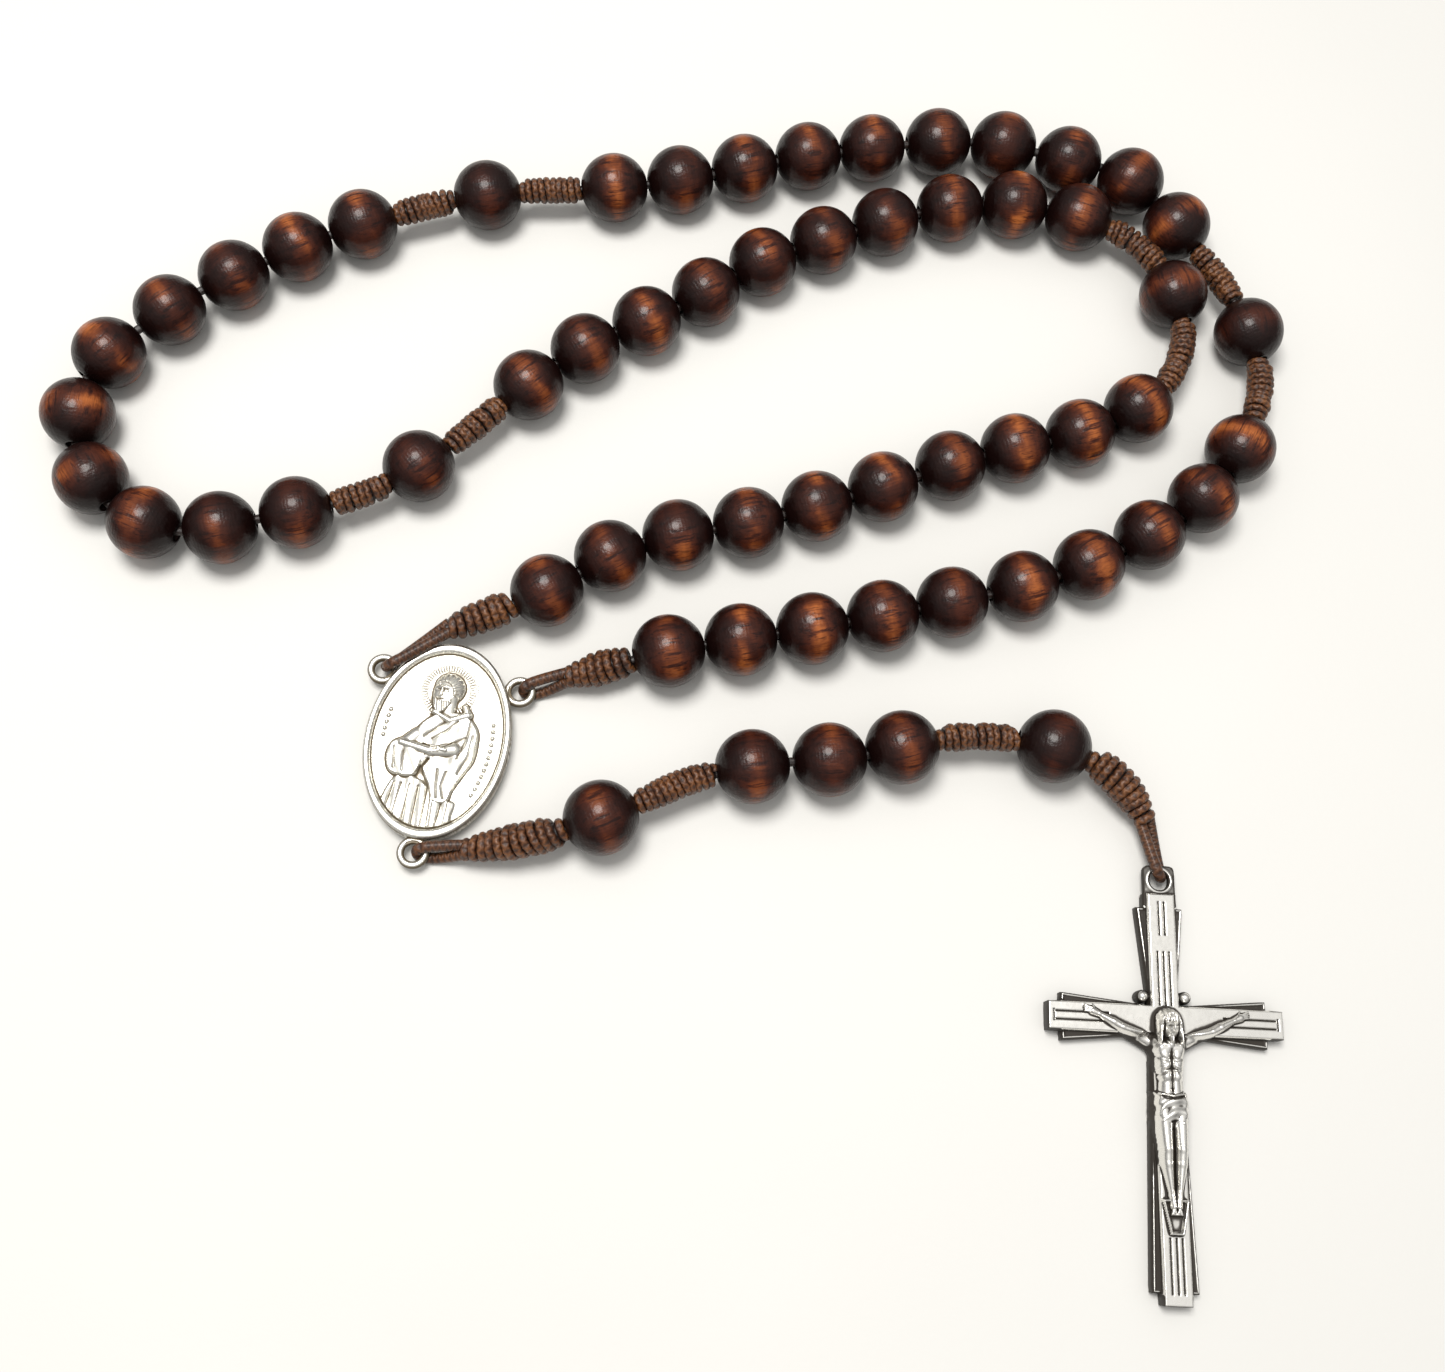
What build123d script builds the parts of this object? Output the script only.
"""A five-decade rosary laid out on a flat surface: round wooden beads on a knotted waxed cord,
an oval centre medal with three ears, and a cast crucifix.

Millimetres, +Z up. The surface it lies on is z = 0, and the origin is the middle of its footprint.
The loop is strung in stretches that meet at three fold lines, where it can be folded as a book is.
"""
import os
from math import cos, radians, sin, sqrt, tan

from build123d import *

# beads
BEAD_DIAMETER = 8.0
BEAD_LENGTH = 7.6
BEAD_BORE = 2.2
BORE_MOUTH = 0.2
BEAD_HEIGHT = BEAD_DIAMETER / 2

# cord, and the knots wound on it
CORD_DIAMETER = 1.0
LINK_DIAMETER = 0.95
LINK_LOW = 0.5
LINK_HIGH = 2.3
LINK_HIGH_RIM = 2.95
LINK_HIGH_CROSS = 2.5
LINK_SETBACK = 0.35
KNOT_DIAMETER = 3.0
KNOT_CORE = 1.3
END_KNOT_CORE = 1.8
LOOP_END_KNOT_LENGTH = 7.4
PENDANT_END_KNOT_LENGTH = 10.8
END_KNOT_DIAMETER = 3.5
END_KNOT_TIP_DIAMETER = 2.3
END_KNOT_TIP_HEIGHT = 2.2
LEFT_KNOT_TIP_HEIGHT = 2.8
BEAD_GAP = 0.42
WIDE_BEAD_GAP = 0.6
FOLD_GAP = 0.7

# centre medal
MEDAL_CENTRE = (-25.7, -12.0)
MEDAL_LEAN = -9.0
MEDAL_HALF_WIDTH = 7.7
MEDAL_HALF_LENGTH = 10.9
MEDAL_THICKNESS = 2.0
MEDAL_RIM = 0.8
MEDAL_RECESS = 0.4
EAR_HEIGHT = 1.4
EAR_RING_RADIUS = 1.325
EAR_WIRE_RADIUS = 0.375
EAR_PLACES = {"left": (-7.5, 6.9), "right": (7.5, 6.9), "bottom": (0.0, -12.3)}

# crucifix, measured from the middle of its eye
CROSS_EYE = (51.35, -26.25)
CROSS_LEAN = -2.5
EYE_DIAMETER = 2.1
EYE_WIDTH = 3.5
EYE_TOP = 1.65
EYE_LUG_BOTTOM = 1.15
EYE_LUG_TOP = 1.85
BAR_WIDTH = 3.0
BAR_START = -1.45
BAR_END = -42.35
BAR_THICKNESS = 2.2
ARM_HEIGHT = -14.65
ARM_HALF_SPAN = 12.4
FLARE_THICKNESS = 1.4
FLARE_START = -2.85
FLARE_END = -41.2
FLARE_ARM = 10.9
CORNER_BALL = 0.6

# The loop runs from the end knot at the medal's left ear round to the one at its right ear, and
# the pendant from the medal's bottom ear to the crucifix. Each stretch has the route of its cord
# and what is strung on it, in order: a run of beads with its count, or a knot with its share of
# the length that the beads leave. The beads stand further apart where the cord turns sharply.
WIDE_STRETCHES = ("loop_cord_6",)
Z = BEAD_HEIGHT
STRETCHES = {
    "loop_cord_1": (
        [
            (-25.3, 0.3, LEFT_KNOT_TIP_HEIGHT),
            (-14.5, 4.0, Z),
            (-6.0, 10.5, Z),
            (5.5, 12.5, Z),
            (16.0, 15.5, Z),
            (26.7, 19.4, Z),
        ],
        [("end_knot", "end_knot_left"), ("beads", "decade_1_beads_a", 6), ("fold",)],
    ),
    "loop_cord_2": (
        [
            (26.7, 19.4, Z),
            (36.5, 23.0, Z),
            (46.0, 25.0, Z),
            (55.5, 29.5, Z),
            (60.5, 39.0, Z),
            (57.0, 50.0, Z),
            (48.5, 55.0, Z),
            (38.0, 56.6, Z),
            (28.1, 54.3, Z),
        ],
        [
            ("fold",),
            ("beads", "decade_1_beads_b", 4),
            ("knot", "knot_1a", 1.12),
            ("beads", "our_father_bead_1", 1),
            ("knot", "knot_1b", 0.88),
            ("beads", "decade_2_beads_a", 3),
            ("fold",),
        ],
    ),
    "loop_cord_3": (
        [
            (28.1, 54.3, Z),
            (18.0, 50.7, Z),
            (8.0, 46.5, Z),
            (-0.5, 40.0, Z),
            (-10.5, 35.5, Z),
            (-19.0, 28.5, Z),
            (-26.5, 21.0, Z),
            (-35.5, 14.5, Z),
            (-46.3, 12.2, Z),
        ],
        [
            ("fold",),
            ("beads", "decade_2_beads_b", 7),
            ("knot", "knot_2a", 1.1),
            ("beads", "our_father_bead_2", 1),
            ("knot", "knot_2b", 0.9),
            ("beads", "decade_3_beads_a", 1),
            ("fold",),
        ],
    ),
    "loop_cord_4": (
        [
            (-46.3, 12.2, Z),
            (-53.0, 10.0, Z),
            (-60.5, 11.5, Z),
            (-65.8, 17.0, Z),
            (-67.9, 24.2, Z),
            (-66.1, 31.5, Z),
            (-61.0, 36.0, Z),
            (-55.4, 40.5, Z),
        ],
        [("fold",), ("beads", "decade_3_beads_b", 6), ("fold",)],
    ),
    "loop_cord_5": (
        [
            (-55.4, 40.5, Z),
            (-45.0, 47.0, Z),
            (-33.5, 52.0, Z),
            (-21.5, 55.5, Z),
            (-9.5, 56.0, Z),
            (3.0, 58.5, Z),
            (14.5, 62.0, Z),
            (27.0, 64.1, Z),
        ],
        [
            ("fold",),
            ("beads", "decade_3_beads_c", 3),
            ("knot", "knot_3a", 1.0),
            ("beads", "our_father_bead_3", 1),
            ("knot", "knot_3b", 1.0),
            ("beads", "decade_4_beads_a", 5),
            ("fold",),
        ],
    ),
    "loop_cord_6": (
        [
            (27.0, 64.1, Z),
            (36.5, 65.5, Z),
            (46.0, 63.0, Z),
            (55.5, 61.0, Z),
            (60.8, 52.4, Z),
            (66.0, 44.5, Z),
            (68.9, 34.5, Z),
            (66.0, 25.5, Z),
            (60.5, 17.5, Z),
            (52.2, 12.2, Z),
            (43.4, 7.7, Z),
            (34.1, 5.1, Z),
        ],
        [
            ("fold",),
            ("beads", "decade_4_beads_b", 5),
            ("knot", "knot_4a", 1.0),
            ("beads", "our_father_bead_4", 1),
            ("knot", "knot_4b", 1.0),
            ("beads", "decade_5_beads_a", 5),
            ("fold",),
        ],
    ),
    "loop_cord_7": (
        [
            (34.1, 5.1, Z),
            (22.5, 2.4, Z),
            (11.0, 0.0, Z),
            (-1.0, -2.0, Z),
            (-12.4, -4.8, END_KNOT_TIP_HEIGHT),
        ],
        [("fold",), ("beads", "decade_5_beads_b", 5), ("end_knot", "end_knot_right")],
    ),
    "pendant_cord_1": (
        [
            (-22.5, -23.9, END_KNOT_TIP_HEIGHT),
            (-13.5, -23.0, Z),
            (-5.0, -19.5, Z),
            (3.0, -15.5, Z),
            (11.9, -14.4, Z),
        ],
        [
            ("end_knot", "end_knot_pendant"),
            ("beads", "our_father_bead_5", 1),
            ("knot", "knot_5", 1.0),
            ("beads", "hail_mary_bead_1", 1),
            ("fold",),
        ],
    ),
    "pendant_cord_2": (
        [
            (11.9, -14.4, Z),
            (19.8, -13.9, Z),
            (27.8, -11.3, Z),
            (36.8, -11.2, Z),
            (44.4, -13.2, Z),
        ],
        [
            ("fold",),
            ("beads", "hail_mary_bead_2", 1),
            ("beads", "hail_mary_bead_3", 1),
            ("knot", "knot_6", 1.0),
            ("beads", "our_father_bead_6", 1),
            ("fold",),
        ],
    ),
}

# the end knot above the crucifix: where it meets the bead, and its tip
CROSS_KNOT_ROOT = (44.9, -13.7, 3.6)
CROSS_KNOT_TIP = (50.3, -20.0, END_KNOT_TIP_HEIGHT)


# ---- helpers

def turned(point, angle, at):
    """A local point, turned about +Z by an angle in degrees and moved to a place."""
    a = radians(angle)
    x, y = point
    return Vector(at[0] + x * cos(a) - y * sin(a), at[1] + x * sin(a) + y * cos(a), 0)


def corner_radii(points):
    """The radius of the arc at each corner of a route: as large as its two runs allow."""
    radii = []
    for before, here, after in zip(points, points[1:], points[2:]):
        first = Vector(here) - Vector(before)
        second = Vector(after) - Vector(here)
        half_turn = radians(first.get_angle(second)) / 2
        radii.append(0.45 * min(first.length, second.length) / tan(half_turn))
    return radii


def round_tube(path, diameter):
    """A round tube along a path."""
    start = Plane(origin=path @ 0, z_dir=path % 0)
    return sweep(start * Circle(diameter / 2), path=path)


def short_path(path, start, end):
    """The stretch of a path between two lengths, as one arc, or as a line where it is straight."""
    a = path.position_at(start, position_mode=PositionMode.LENGTH)
    b = path.position_at((start + end) / 2, position_mode=PositionMode.LENGTH)
    c = path.position_at(end, position_mode=PositionMode.LENGTH)
    if (b - (a + c) / 2).length < 0.02:
        return Line(a, c)
    return ThreePointArc(a, b, c)


# ---- beads and knots

def bead():
    """A turned wooden bead along Z: a ball with flattened ends and a bore with eased mouths."""
    radius = BEAD_DIAMETER / 2
    half = BEAD_LENGTH / 2
    bore = BEAD_BORE / 2
    flat = sqrt(radius**2 - half**2)
    side = ThreePointArc((flat, 0, -half), (radius, 0, 0), (flat, 0, half))
    rest = Polyline(
        (flat, 0, half),
        (bore + BORE_MOUTH / 2, 0, half),
        (bore, 0, half - BORE_MOUTH),
        (bore, 0, BORE_MOUTH - half),
        (bore + BORE_MOUTH / 2, 0, -half),
        (flat, 0, -half),
    )
    return revolve(make_face(side + rest), Axis.Z).solid()


def place_bead(path, start, end):
    """A bead threaded on the path between two lengths, resting on the surface."""
    a = path.position_at(start, position_mode=PositionMode.LENGTH)
    b = path.position_at(end, position_mode=PositionMode.LENGTH)
    middle = path.position_at((start + end) / 2, position_mode=PositionMode.LENGTH)
    centre = ((a + b) / 2 + middle) / 2
    along = Vector(b.X - a.X, b.Y - a.Y, 0)
    return Plane(origin=(centre.X, centre.Y, BEAD_HEIGHT), z_dir=along) * bead()


def barrel_knot(path, start, end):
    """A knot wound round the cord: a barrel with rounded ends and the cord's way through it."""
    spine = short_path(path, start, end)
    barrel = round_tube(spine, KNOT_DIAMETER)
    rims = [e for e in barrel.edges().filter_by(GeomType.CIRCLE) if e.is_closed]
    barrel = fillet(rims, KNOT_DIAMETER * 0.22)
    return (barrel - round_tube(spine, KNOT_CORE)).solid()


def tapered_knot(tip, waist, root):
    """An end knot: narrow at the tip, where the doubled cord leaves it, and full near the bead."""
    axis = root - tip
    length = axis.length
    full = END_KNOT_DIAMETER / 2
    narrow = END_KNOT_TIP_DIAMETER / 2
    outline = [
        (0, 0),
        (narrow - 0.3, 0),
        (narrow, 0.4),
        (narrow + 0.15, length * 0.25),
        (full, length * waist),
        (full, length * 0.85),
        (full * 0.72, length),
        (0, length),
    ]
    profile = make_face(Polyline(*[(x, 0, z) for x, z in outline], close=True))
    body = revolve(profile, Axis.Z)
    core_depth = length - 1.5
    core = Pos(0, 0, length - core_depth / 2) * Cylinder(END_KNOT_CORE / 2, core_depth)
    return (Plane(origin=tip, z_dir=axis) * (body - core)).solid()


# ---- stretches of the cord, with what is strung on them

def spare_length(path, items):
    """What is left of a stretch for its gaps and barrel knots, how many gaps, and the knots' shares."""
    used = 0.0
    gaps = 0
    knots = 0.0
    for item, following in zip(items, items[1:] + [None]):
        if item[0] == "beads":
            used += item[2] * BEAD_LENGTH
            gaps += item[2] - 1
        if item[0] == "fold":
            used += FOLD_GAP / 2
        if item[0] == "knot":
            knots += item[2]
        if item[0] == "end_knot":
            used += end_knot_length(item[1])
        if following and "fold" not in (item[0], following[0]):
            gaps += 1
    return path.length - used, gaps, knots


def end_knot_length(name):
    """How long an end knot is: the pendant's has more turns."""
    if name == "end_knot_pendant":
        return PENDANT_END_KNOT_LENGTH
    return LOOP_END_KNOT_LENGTH


def string_stretch(cord_name):
    """Every node of one stretch: its cord, and the beads and knots on it."""
    route, items = STRETCHES[cord_name]
    radii = corner_radii(route)
    path = FilletPolyline(*route, radius=radii)
    print(cord_name, "length", round(path.length, 1), "arc radii", [round(r, 1) for r in radii])
    spare, gaps, knots = spare_length(path, items)
    usual_gap = WIDE_BEAD_GAP if cord_name in WIDE_STRETCHES else BEAD_GAP
    gap = usual_gap if knots else spare / gaps
    knot_share = (spare - gaps * gap) / knots if knots else 0
    nodes = {cord_name: cord_tube(path, items)}
    at = 0.0
    last = None
    for item in items:
        kind = item[0]
        if last not in (None, "fold") and kind != "fold":
            at += gap
        if kind == "fold":
            at += FOLD_GAP / 2
        if kind == "beads":
            nodes[item[1]], at = bead_group(path, at, gap, item[2])
        if kind == "knot":
            length = knot_share * item[2]
            nodes[item[1]] = barrel_knot(path, at, at + length)
            at += length
        if kind == "end_knot":
            length = end_knot_length(item[1])
            nodes[item[1]] = end_knot_on(path, at, at + length)
            at += length
        last = kind
    print("   gap", round(gap, 2), "knots", round(knot_share, 2), "ends at", round(at, 2))
    return nodes


def bead_group(path, at, gap, count):
    """A run of beads from one length on, and the length where it ends."""
    beads = []
    for number in range(count):
        beads.append(place_bead(path, at, at + BEAD_LENGTH))
        at += BEAD_LENGTH
        if number < count - 1:
            at += gap
    return (beads[0] if count == 1 else Compound(beads)), at


def end_knot_on(path, start, end):
    """An end knot on a stretch: its tip is the lower of the two ends."""
    a = path.position_at(start, position_mode=PositionMode.LENGTH)
    b = path.position_at(end, position_mode=PositionMode.LENGTH)
    tip, root = (a, b) if a.Z < b.Z else (b, a)
    return tapered_knot(tip, 0.55, root)


def cord_tube(path, items):
    """A stretch's cord. It starts inside its end knot, and stops short of the fold line."""
    back = 0.12
    starts_in_knot = items[0][0] == "end_knot"
    ends_in_knot = items[-1][0] == "end_knot"
    low = 2.2 if starts_in_knot else back
    high = path.length - (2.2 if ends_in_knot else back)
    tube = round_tube(path, CORD_DIAMETER)
    tube = tube - cutter(path, low, -1)
    tube = tube - cutter(path, high, 1)
    return tube.solid()


def cutter(path, at, way):
    """A block beyond one length of a path, to trim a tube square there."""
    here = path.position_at(at, position_mode=PositionMode.LENGTH)
    along = path.tangent_at(at, position_mode=PositionMode.LENGTH)
    block = Pos(0, 0, 2) * Box(4, 4, 4)
    return Plane(origin=here, z_dir=along * way) * block


# ---- links of doubled cord through the ears and the eye

def link(tip, bar, low, high, reach, spread):
    """Doubled cord from an end knot's tip, over a bar at one height, and back below it at another.

    The strand above is to the side that spread points to, and the one below is to the other side.
    """
    outward = Vector(tip.X - bar.X, tip.Y - bar.Y, 0)
    out = outward.normalized()
    side = Vector(-out.Y, out.X, 0) * spread
    end = tip - out * LINK_SETBACK
    near = Vector(bar.X, bar.Y, 0) + out * 1.7
    far = Vector(bar.X, bar.Y, 0) - out * reach
    points = [
        end + side,
        near + side + Vector(0, 0, high),
        far + side / 2 + Vector(0, 0, high),
        far - side / 2 + Vector(0, 0, low),
        near - side + Vector(0, 0, low),
        end - side,
    ]
    turn = reach * 0.9
    path = FilletPolyline(*points, radius=[1.2, turn, turn, 1.2])
    return round_tube(path, LINK_DIAMETER).solid(), path.length


def ear_centre(name):
    """The middle of one of the medal's ears."""
    return turned(EAR_PLACES[name], MEDAL_LEAN, MEDAL_CENTRE)


def ear_link(ear, tip, high, spread):
    """The doubled cord that ties an end knot to one ear of the medal."""
    centre = ear_centre(ear)
    out = Vector(tip.X - centre.X, tip.Y - centre.Y, 0).normalized()
    bar = centre + out * EAR_RING_RADIUS
    tube, length = link(tip, bar, LINK_LOW, high, 0.9, spread)
    print("link", ear, "ear", centre, "bar", bar, "length", round(length, 1))
    return tube


def cross_link(tip):
    """The doubled cord that ties the crucifix to its end knot, over the bar above its eye."""
    bar_middle = (EYE_DIAMETER / 2 + EYE_TOP) / 2
    bar = turned((0, bar_middle), CROSS_LEAN, CROSS_EYE)
    tube, length = link(tip, bar, LINK_LOW, LINK_HIGH_CROSS, 1.0, 0.5)
    print("link crucifix bar", bar, "length", round(length, 1))
    return tube


# ---- centre medal

def medal_blank():
    """The oval with a raised rim on both faces."""
    low = EAR_HEIGHT - MEDAL_THICKNESS / 2
    blank = extrude(Ellipse(MEDAL_HALF_WIDTH, MEDAL_HALF_LENGTH), MEDAL_THICKNESS)
    blank = fillet(blank.edges(), 0.25)
    inner = Ellipse(MEDAL_HALF_WIDTH - MEDAL_RIM, MEDAL_HALF_LENGTH - MEDAL_RIM)
    recess = extrude(inner, MEDAL_RECESS)
    blank -= recess
    blank -= Pos(0, 0, MEDAL_THICKNESS - MEDAL_RECESS) * recess
    return Pos(0, 0, low) * blank


def raised(outline, height):
    """A raised patch on the medal's front field, from a closed smooth outline."""
    field = EAR_HEIGHT + MEDAL_THICKNESS / 2 - MEDAL_RECESS
    curve = Spline(*outline, periodic=True)
    return Pos(0, 0, field - 0.05) * extrude(make_face(curve), height + 0.05)


def medal_figure():
    """A robed figure with a halo, in low relief: halo ring, head, robe, sleeves and skirt folds."""
    field = EAR_HEIGHT + MEDAL_THICKNESS / 2 - MEDAL_RECESS
    halo = Circle(2.7) - Circle(2.1)
    figure = Pos(0.3, 4.6, field - 0.05) * extrude(halo, 0.17)
    figure += Pos(0.2, 4.5, field - 0.05) * scale(Sphere(1), (1.15, 1.55, 0.4))
    robe = [(-1.6, 2.4), (0.4, 3.1), (2.6, 2.5), (4.2, 0.6), (4.0, -2.8), (2.6, -5.4)]
    robe += [(2.8, -9.1), (-3.2, -9.0), (-2.4, -5.0), (-3.4, -3.4), (-3.0, -1.0)]
    figure += raised(robe, 0.22)
    sleeve = [(-4.0, -1.2), (-1.6, -0.4), (1.2, -0.6), (1.8, -1.9), (-0.4, -2.6), (-1.4, -4.2), (-3.6, -4.4)]
    figure += raised(sleeve, 0.34)
    return figure


def back_cross():
    """A plain cross on the medal's back field."""
    low = EAR_HEIGHT - MEDAL_THICKNESS / 2 + MEDAL_RECESS
    upright = Pos(0, -0.5, low - 0.1) * Box(1.6, 14.0, 0.3)
    arms = Pos(0, 2.0, low - 0.1) * Box(8.6, 1.6, 0.3)
    return upright + arms


def ear(place):
    """One ring ear."""
    return Pos(place[0], place[1], EAR_HEIGHT) * Torus(EAR_RING_RADIUS, EAR_WIRE_RADIUS)


def medal():
    """The centre medal, one casting."""
    part = medal_blank() + medal_figure() + back_cross()
    for place in EAR_PLACES.values():
        part += ear(place)
    return (Location((*MEDAL_CENTRE, 0), (0, 0, MEDAL_LEAN)) * part).solid()


# ---- crucifix

def flared_layer():
    """The lower layer: it widens along each arm and stops short of the arm's end."""
    waist = BAR_WIDTH / 2 + 0.1
    shaft = [
        (-2.55, FLARE_START),
        (2.55, FLARE_START),
        (waist, ARM_HEIGHT + 2.4),
        (waist, ARM_HEIGHT - 2.4),
        (2.45, FLARE_END),
        (-2.45, FLARE_END),
        (-waist, ARM_HEIGHT - 2.4),
        (-waist, ARM_HEIGHT + 2.4),
    ]
    arms = [
        (-FLARE_ARM, ARM_HEIGHT + 2.5),
        (-2.0, ARM_HEIGHT + waist),
        (2.0, ARM_HEIGHT + waist),
        (FLARE_ARM, ARM_HEIGHT + 2.5),
        (FLARE_ARM, ARM_HEIGHT - 2.5),
        (2.0, ARM_HEIGHT - waist),
        (-2.0, ARM_HEIGHT - waist),
        (-FLARE_ARM, ARM_HEIGHT - 2.5),
    ]
    layer = extrude(make_face(Polyline(*shaft, close=True)), FLARE_THICKNESS)
    return layer + extrude(make_face(Polyline(*arms, close=True)), FLARE_THICKNESS)


def raised_bars():
    """The upper layer: the shaft and the crossbar, with a thin groove pair along each end."""
    length = BAR_START - BAR_END
    middle = (BAR_START + BAR_END) / 2
    shaft = Pos(0, middle, BAR_THICKNESS / 2) * Box(BAR_WIDTH, length, BAR_THICKNESS)
    cross = Pos(0, ARM_HEIGHT, BAR_THICKNESS / 2) * Box(2 * ARM_HALF_SPAN, BAR_WIDTH, BAR_THICKNESS)
    bars = shaft + cross
    for offset in (-0.45, 0.0, 0.45):
        bars -= Pos(offset, -38.0, BAR_THICKNESS) * Box(0.16, 5.6, 0.3)
        bars -= Pos(offset, -8.6, BAR_THICKNESS) * Box(0.16, 6.6, 0.3)
    for offset in (-0.3, 0.3):
        for way in (-1, 1):
            bars -= Pos(way * 9.9, ARM_HEIGHT + offset, BAR_THICKNESS) * Box(3.0, 0.16, 0.3)
    return bars


def eye_lug():
    """The lug with the eye at the top. Its back is relieved, so that the cord fits below it."""
    bottom = FLARE_START - 0.3
    height = EYE_TOP - bottom
    thickness = EYE_LUG_TOP - EYE_LUG_BOTTOM
    middle = (EYE_TOP + bottom) / 2
    lug = Pos(0, middle, (EYE_LUG_TOP + EYE_LUG_BOTTOM) / 2) * Box(EYE_WIDTH, height, thickness)
    upright = lug.edges().filter_by(Axis.Z).group_by(Axis.Y)[-1]
    lug = fillet(upright, 0.7)
    return lug - Pos(0, 0, EYE_LUG_TOP) * Cylinder(EYE_DIAMETER / 2, 3)


def limb(start, end, start_radius, end_radius):
    """A tapered limb with rounded-off ends, turned about the line between its two joints."""
    a = Vector(start)
    b = Vector(end)
    length = (b - a).length
    outline = [
        (0, -start_radius * 0.85),
        (start_radius * 0.75, -start_radius * 0.55),
        (start_radius, 0),
        (end_radius, length),
        (end_radius * 0.75, length + end_radius * 0.55),
        (0, length + end_radius * 0.85),
    ]
    profile = make_face(Polyline(*[(x, 0, z) for x, z in outline], close=True))
    return Plane(origin=a, z_dir=b - a) * revolve(profile, Axis.Z)


def corpus():
    """The figure on the cross: head and hair, arms, trunk, loincloth, legs and foot block."""
    shoulder = ARM_HEIGHT - 2.6
    figure = limb((0, ARM_HEIGHT - 0.3, 3.25), (0, ARM_HEIGHT - 1.35, 3.3), 1.16, 0.95)
    figure += limb((0, shoulder + 0.6, 2.4), (0, shoulder - 1.6, 2.5), 0.8, 1.3)
    for way in (-1, 1):
        figure += limb((way * 1.5, shoulder, 2.4), (way * 4.4, ARM_HEIGHT - 1.1, 2.5), 0.75, 0.6)
        figure += limb((way * 4.4, ARM_HEIGHT - 1.1, 2.5), (way * 7.2, ARM_HEIGHT + 0.3, 2.4), 0.6, 0.45)
        figure += limb((way * 7.2, ARM_HEIGHT + 0.3, 2.4), (way * 8.0, ARM_HEIGHT + 0.6, 2.4), 0.5, 0.35)
        figure += limb((way * 0.7, shoulder - 1.2, 2.4), (way * 0.6, -23.6, 2.3), 1.1, 0.95)
        figure += limb((way * 0.75, -24.2, 2.4), (way * 0.7, -27.6, 2.9), 1.05, 0.75)
        figure += limb((way * 0.7, -27.6, 2.9), (way * 0.4, -32.6, 2.5), 0.75, 0.42)
    figure += limb((-0.95, -23.35, 2.3), (0.9, -23.45, 2.35), 1.42, 1.38)
    block = [(-1.45, -32.4), (1.45, -32.4), (0.75, -35.6), (-0.75, -35.6)]
    figure += Pos(0, 0, 1.0) * extrude(make_face(Polyline(*block, close=True)), 1.8)
    return figure


def crucifix():
    """The crucifix, one casting."""
    part = flared_layer() + raised_bars() + eye_lug()
    for way in (-1, 1):
        part += Pos(way * 2.2, ARM_HEIGHT + 2.4, 0.9) * Sphere(CORNER_BALL)
    part += corpus()
    part = part & (Pos(0, -20, 4) * Box(60, 80, 8))
    return (Location((*CROSS_EYE, 0), (0, 0, CROSS_LEAN)) * part).solid()


# ---- the whole rosary

def tip_of(cord_name, at_start):
    """Where the doubled cord leaves the end knot of a stretch."""
    route = STRETCHES[cord_name][0]
    return Vector(route[0] if at_start else route[-1])


nodes = {}
for name in STRETCHES:
    nodes.update(string_stretch(name))
nodes["ear_link_left"] = ear_link("left", tip_of("loop_cord_1", True), LINK_HIGH_RIM, -0.5)
nodes["ear_link_right"] = ear_link("right", tip_of("loop_cord_7", False), LINK_HIGH, 0.5)
nodes["ear_link_pendant"] = ear_link("bottom", tip_of("pendant_cord_1", True), LINK_HIGH, 0.5)
nodes["end_knot_crucifix"] = tapered_knot(Vector(CROSS_KNOT_TIP), 0.5, Vector(CROSS_KNOT_ROOT))
nodes["eye_link_crucifix"] = cross_link(Vector(CROSS_KNOT_TIP))
nodes["centre_medal"] = medal()
nodes["crucifix"] = crucifix()

os.makedirs("parts", exist_ok=True)
for name, shape in nodes.items():
    export_step(shape, f"parts/{name}.step")
whole = Compound(list(nodes.values())).bounding_box()
print("nodes", len(nodes), "box", whole.min, whole.max)
